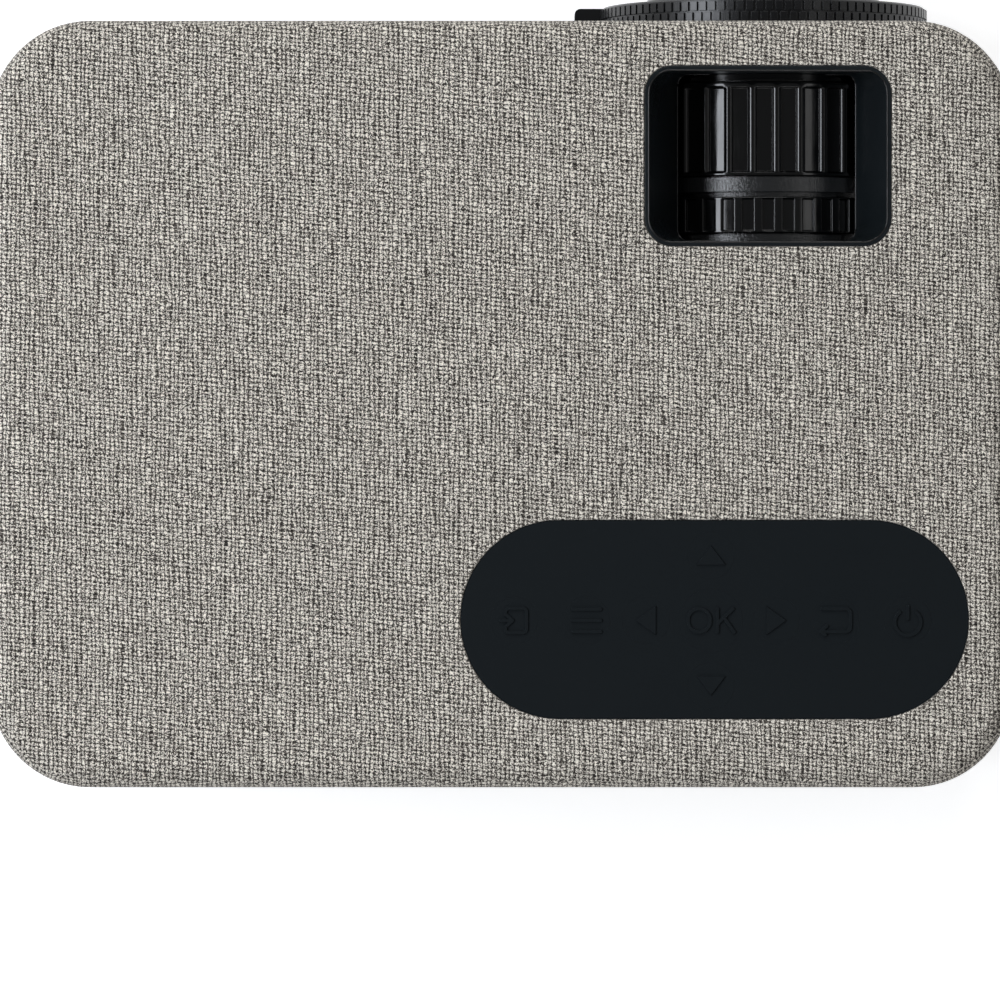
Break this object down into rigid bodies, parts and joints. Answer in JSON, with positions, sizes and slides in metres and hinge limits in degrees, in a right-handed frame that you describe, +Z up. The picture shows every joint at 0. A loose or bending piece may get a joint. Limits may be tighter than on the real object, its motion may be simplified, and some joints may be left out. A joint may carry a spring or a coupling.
{
  "type": "projector with built in dvd player",
  "caption": "Fabric-covered tabletop projector with a side disc tray, front lens, two control wheels in a top window and an inset keypad.",
  "frame": {"origin": "middle of the footprint on the surface it stands on, lens included", "axes": "+X to the right seen from behind, +Y the way the lens looks, +Z up"},
  "size_m": [0.22, 0.1784, 0.1],
  "materials": {
    "woven_fabric": "linen-look plain weave in warm grey and off-white yarns",
    "black_plastic": "fine-textured black ABS",
    "fascia_plastic": "satin black ABS",
    "soft_touch": "matte soft-touch black",
    "gloss_black": "gloss black moulding",
    "satin_black": "satin black moulding",
    "black_rubber": "matte rubber",
    "dark_filter": "dark red infrared filter",
    "lens_glass": "coated optical glass",
    "lcd_glass": "panel glass",
    "zinc_steel": "zinc-plated sheet steel",
    "nickel_steel": "nickel-plated shells",
    "polished_steel": "ground steel",
    "bare_aluminium": "extruded",
    "brass": "turned",
    "tray_plastic": "dark grey moulding",
    "green_board": "solder mask over glass laminate",
    "lamp_phosphor": "phosphor under silicone"
  },
  "bodies": {
    "root": {"top_cover": "black_plastic", "fabric_wrap": "woven_fabric", "bottom_case": "black_plastic", "rubber_feet": "black_rubber", "case_screws": "zinc_steel", "tripod_nut": "brass", "front_panel": "fascia_plastic", "remote_window": "dark_filter", "rear_panel": "fascia_plastic", "side_vent": "fascia_plastic", "drive_surround": "fascia_plastic", "control_window": "fascia_plastic", "keypad_panel": "soft_touch", "key_board": "green_board", "lens_ring": "gloss_black", "lens_mount": "satin_black", "focus_ring_clip": "satin_black", "engine_housing": "satin_black", "condenser_lens": "lens_glass", "heat_glass": "lens_glass", "fresnel_lenses": "lens_glass", "lamp_heatsink": "bare_aluminium", "led_lamp": "lamp_phosphor", "fan_frame": "satin_black", "drive_chassis": "zinc_steel", "drive_lid": "zinc_steel", "main_board": "green_board", "signal_sockets": "nickel_steel", "power_board": "green_board", "power_inlet": "black_plastic", "speakers": "satin_black"},
    "tray": {"disc_tray": "tray_plastic", "tray_bezel": "fascia_plastic", "drive_motors": "zinc_steel", "guide_rods": "polished_steel"},
    "rails": {"slide_rails": "zinc_steel"},
    "eject_button": {"eject_button": "fascia_plastic"},
    "spindle": {"spindle_hub": "tray_plastic"},
    "sled": {"pickup_sled": "tray_plastic"},
    "lead_screw": {"lead_screw": "polished_steel"},
    "focus_wheel": {"focus_ring": "gloss_black"},
    "barrel": {"lens_barrel": "gloss_black", "front_lens": "lens_glass", "front_lens_ring": "satin_black", "inner_lenses": "lens_glass"},
    "keystone_wheel": {"keystone_ring": "gloss_black"},
    "lcd_tilt": {"lcd_frame": "satin_black", "lcd_panel": "lcd_glass"},
    "fan": {"fan_rotor": "satin_black"},
    "tilt_foot": {"tilt_foot_pad": "black_rubber"},
    "tilt_screw": {"tilt_foot_screw": "black_plastic"},
    "key_ok": {"key_ok": "soft_touch"},
    "key_left": {"key_left": "soft_touch"},
    "key_right": {"key_right": "soft_touch"},
    "key_up": {"key_up": "soft_touch"},
    "key_down": {"key_down": "soft_touch"},
    "key_menu": {"key_menu": "soft_touch"},
    "key_back": {"key_back": "soft_touch"},
    "key_source": {"key_source": "soft_touch"},
    "key_power": {"key_power": "soft_touch"}
  },
  "joints": [
    {"name": "tray_slide", "type": "slide", "parent": "root", "child": "tray", "axis": [-1, 0, 0], "range_m": [0, 0.116]},
    {"name": "rail_slide", "type": "slide", "parent": "root", "child": "rails", "axis": [-1, 0, 0], "range_m": [0, 0.058]},
    {"name": "eject_press", "type": "slide", "parent": "tray", "child": "eject_button", "axis": [1, 0, 0], "range_m": [0, 0.0008], "stiffness_N_per_m": 400},
    {"name": "spindle_spin", "type": "hinge", "parent": "tray", "child": "spindle", "pos_m": [-0.046, -0.00675, 0.0322], "axis": [0, 0, 1], "continuous": true},
    {"name": "sled_travel", "type": "slide", "parent": "tray", "child": "sled", "axis": [1, 0, 0], "range_m": [0, 0.032]},
    {"name": "lead_screw_turn", "type": "hinge", "parent": "tray", "child": "lead_screw", "pos_m": [0, -0.00675, 0.025], "axis": [1, 0, 0], "range_deg": [0, 3841]},
    {"name": "barrel_focus", "type": "slide", "parent": "root", "child": "barrel", "axis": [0, 1, 0], "range_m": [-0.003, 0.003]},
    {"name": "focus_wheel_turn", "type": "hinge", "parent": "root", "child": "focus_wheel", "pos_m": [0.0578, 0.06335, 0.055], "axis": [0, 1, 0], "range_deg": [-60.1, 60.1]},
    {"name": "lcd_keystone", "type": "hinge", "parent": "root", "child": "lcd_tilt", "pos_m": [0.0578, -0.00375, 0.055], "axis": [1, 0, 0], "range_deg": [-4, 4]},
    {"name": "keystone_wheel_turn", "type": "hinge", "parent": "root", "child": "keystone_wheel", "pos_m": [0.0578, 0.03835, 0.055], "axis": [0, 1, 0], "range_deg": [-60.1, 60.1]},
    {"name": "fan_spin", "type": "hinge", "parent": "root", "child": "fan", "pos_m": [0.1069, -0.02675, 0.055], "axis": [1, 0, 0], "continuous": true},
    {"name": "foot_lower", "type": "slide", "parent": "root", "child": "tilt_foot", "axis": [0, 0, -1], "range_m": [0, 0.01]},
    {"name": "foot_screw_turn", "type": "hinge", "parent": "tilt_foot", "child": "tilt_screw", "pos_m": [0, 0.06325, 0.019], "axis": [0, 0, -1], "range_deg": [0, 2401]},
    {"name": "press_ok", "type": "slide", "parent": "root", "child": "key_ok", "axis": [0, 0, -1], "range_m": [0, 0.0004], "stiffness_N_per_m": 500},
    {"name": "press_left", "type": "slide", "parent": "root", "child": "key_left", "axis": [0, 0, -1], "range_m": [0, 0.0004], "stiffness_N_per_m": 500},
    {"name": "press_right", "type": "slide", "parent": "root", "child": "key_right", "axis": [0, 0, -1], "range_m": [0, 0.0004], "stiffness_N_per_m": 500},
    {"name": "press_up", "type": "slide", "parent": "root", "child": "key_up", "axis": [0, 0, -1], "range_m": [0, 0.0004], "stiffness_N_per_m": 500},
    {"name": "press_down", "type": "slide", "parent": "root", "child": "key_down", "axis": [0, 0, -1], "range_m": [0, 0.0004], "stiffness_N_per_m": 500},
    {"name": "press_menu", "type": "slide", "parent": "root", "child": "key_menu", "axis": [0, 0, -1], "range_m": [0, 0.0004], "stiffness_N_per_m": 500},
    {"name": "press_back", "type": "slide", "parent": "root", "child": "key_back", "axis": [0, 0, -1], "range_m": [0, 0.0004], "stiffness_N_per_m": 500},
    {"name": "press_source", "type": "slide", "parent": "root", "child": "key_source", "axis": [0, 0, -1], "range_m": [0, 0.0004], "stiffness_N_per_m": 500},
    {"name": "press_power", "type": "slide", "parent": "root", "child": "key_power", "axis": [0, 0, -1], "range_m": [0, 0.0004], "stiffness_N_per_m": 500}
  ],
  "couplings": [
    {"joint": "rail_slide", "follows": "tray_slide", "ratio": 0.5},
    {"joint": "lead_screw_turn", "follows": "sled_travel", "rad_per_m": 2094.4},
    {"joint": "focus_wheel_turn", "follows": "barrel_focus", "rad_per_m": 349.07},
    {"joint": "keystone_wheel_turn", "follows": "lcd_keystone", "ratio": 15},
    {"joint": "foot_screw_turn", "follows": "foot_lower", "rad_per_m": 4188.8}
  ]
}
